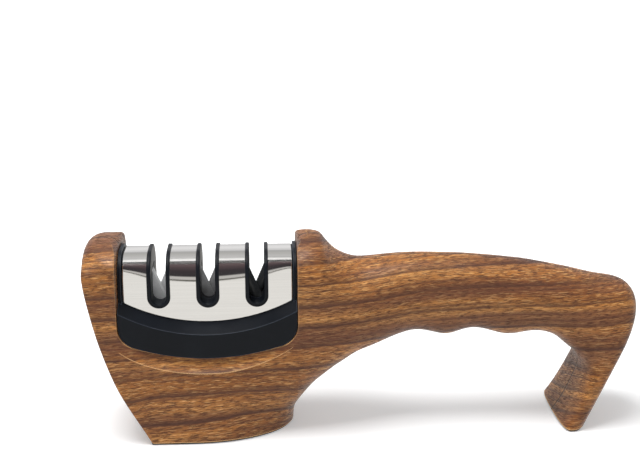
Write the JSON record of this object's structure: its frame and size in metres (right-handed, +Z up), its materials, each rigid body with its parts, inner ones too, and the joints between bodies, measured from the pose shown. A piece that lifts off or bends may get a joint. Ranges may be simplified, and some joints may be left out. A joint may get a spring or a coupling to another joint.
{
  "type": "pull through knife sharpener",
  "caption": "Hand-held pull-through knife sharpener: hollow two-half body with an arched handle and a lift-out cartridge of slotted sharpening stages.",
  "frame": {"origin": "on the table, under the middle of the overall length, on the seam plane between the two housing halves", "axes": "+X along the length from the sharpening head to the heel of the handle, +Y to the back across the width, +Z up; the front faces -Y"},
  "size_m": [0.2161, 0.0454, 0.0782],
  "materials": {
    "wood_print": "satin wood-grain print",
    "black_plastic": "semi-gloss",
    "inner_plastic": "matt",
    "foot_rubber": "matt",
    "screw_steel": "zinc plated",
    "polished_steel": "polished",
    "ground_steel": "ground",
    "carbide": "ground, dark grey",
    "ceramic": "fine matt, near black"
  },
  "bodies": {
    "housing": {"front_housing": "wood_print", "rear_housing": "wood_print", "base_plate": "black_plastic", "base_pad": "foot_rubber", "leg_plug": "black_plastic", "leg_pad": "foot_rubber", "base_plate_screws": "screw_steel", "leg_plug_screws": "screw_steel"},
    "cartridge": {"cartridge_front_shell": "black_plastic", "cartridge_rear_shell": "black_plastic", "cartridge_screws": "screw_steel", "steel_cover": "polished_steel", "coarse_slot_guide": "black_plastic", "medium_slot_guide": "black_plastic", "fine_slot_guide": "black_plastic", "coarse_carrier": "inner_plastic", "medium_carrier": "inner_plastic", "fine_carrier": "inner_plastic", "coarse_plate_left": "ground_steel", "coarse_plate_right": "ground_steel", "carbide_blade_left": "carbide", "carbide_blade_right": "carbide", "ceramic_rod_left": "ceramic", "ceramic_rod_right": "ceramic"}
  },
  "joints": [
    {"name": "cartridge_lift", "type": "slide", "parent": "housing", "child": "cartridge", "axis": [0, 0, 1], "range_m": [0, 0.045]}
  ]
}
